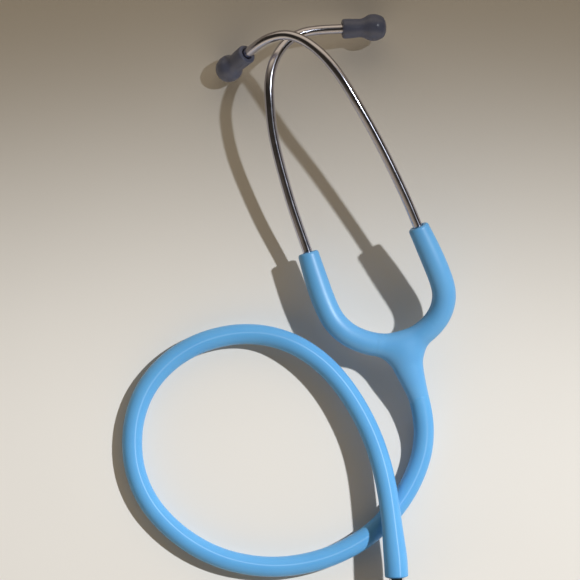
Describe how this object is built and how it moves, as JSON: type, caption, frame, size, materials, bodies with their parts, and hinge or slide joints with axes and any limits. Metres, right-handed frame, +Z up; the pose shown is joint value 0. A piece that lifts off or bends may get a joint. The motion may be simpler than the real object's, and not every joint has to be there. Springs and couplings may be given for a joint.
{
  "type": "stethoscope",
  "caption": "Acoustic stethoscope lying relaxed: sprung vinyl yoke with crossed steel ear tubes and soft tips, a looped hose, and a two-sided chestpiece that turns on its stem",
  "frame": {"origin": "bottom centre of the bounding box of everything but the hose, on the surface it lies on", "axes": "+Z up from that surface, +Y from the chestpiece to the ear tips, +X to the right seen from above with the ear tips away from you"},
  "size_m": [0.1558, 0.3104, 0.044],
  "materials": {
    "blue_vinyl": "moulded flexible vinyl, satin",
    "polished_steel": "polished stainless steel tube",
    "chromed_brass": "bright chrome plate on turned brass",
    "spring_steel": "blued flat and wire spring steel",
    "slate_silicone": "soft silicone, satin",
    "black_rubber": "nitrile rubber",
    "grey_rubber": "soft rubber, matt",
    "clear_disc": "glass-filled epoxy sheet"
  },
  "bodies": {
    "yoke": {"yoke_center": "blue_vinyl", "spring_bridge": "spring_steel", "hose": "blue_vinyl", "hose_cuff": "blue_vinyl", "stem": "chromed_brass", "stem_o_ring": "black_rubber", "stem_snap_ring": "spring_steel", "detent_ball": "polished_steel", "detent_spring": "spring_steel"},
    "left_arm": {"left_arm": "blue_vinyl", "left_spring_leaf": "spring_steel", "left_tube_ferrule": "polished_steel", "left_ear_tube": "polished_steel", "left_tip_nipple": "polished_steel"},
    "right_arm": {"right_arm": "blue_vinyl", "right_spring_leaf": "spring_steel", "right_tube_ferrule": "polished_steel", "right_ear_tube": "polished_steel", "right_tip_nipple": "polished_steel"},
    "left_ear_tip": {"left_ear_tip": "slate_silicone"},
    "right_ear_tip": {"right_ear_tip": "slate_silicone"},
    "chestpiece": {"chestpiece_body": "chromed_brass", "diaphragm": "clear_disc", "diaphragm_rim": "grey_rubber", "bell_sleeve": "grey_rubber"}
  },
  "joints": [
    {"name": "right_arm_open", "type": "hinge", "parent": "yoke", "child": "right_arm", "pos_m": [0.05035, 0.0204, 0.02057], "axis": [0.6339, 0.5188, -0.5736], "range_deg": [0, 35], "stiffness_Nm_per_rad": 0.9},
    {"name": "left_arm_open", "type": "hinge", "parent": "yoke", "child": "left_arm", "pos_m": [0.009, 0.00383, 0.0146], "axis": [0, 0, 1], "range_deg": [0, 10.5]},
    {"name": "left_tip_turn", "type": "hinge", "parent": "left_arm", "child": "left_ear_tip", "pos_m": [0.00356, 0.1481, 0.012], "axis": [0.9911, 0.0595, -0.1189], "continuous": true},
    {"name": "right_tip_turn", "type": "hinge", "parent": "right_arm", "child": "right_ear_tip", "pos_m": [-0.04074, 0.1359, 0.0183], "axis": [-0.5765, -0.395, -0.7153], "continuous": true},
    {"name": "chestpiece_turn", "type": "hinge", "parent": "yoke", "child": "chestpiece", "pos_m": [0.03011, -0.13307, 0.0165], "axis": [-0.0526, 0.9986, 0], "continuous": true}
  ],
  "couplings": [
    {"joint": "left_arm_open", "follows": "right_arm_open", "ratio": 0.3}
  ]
}
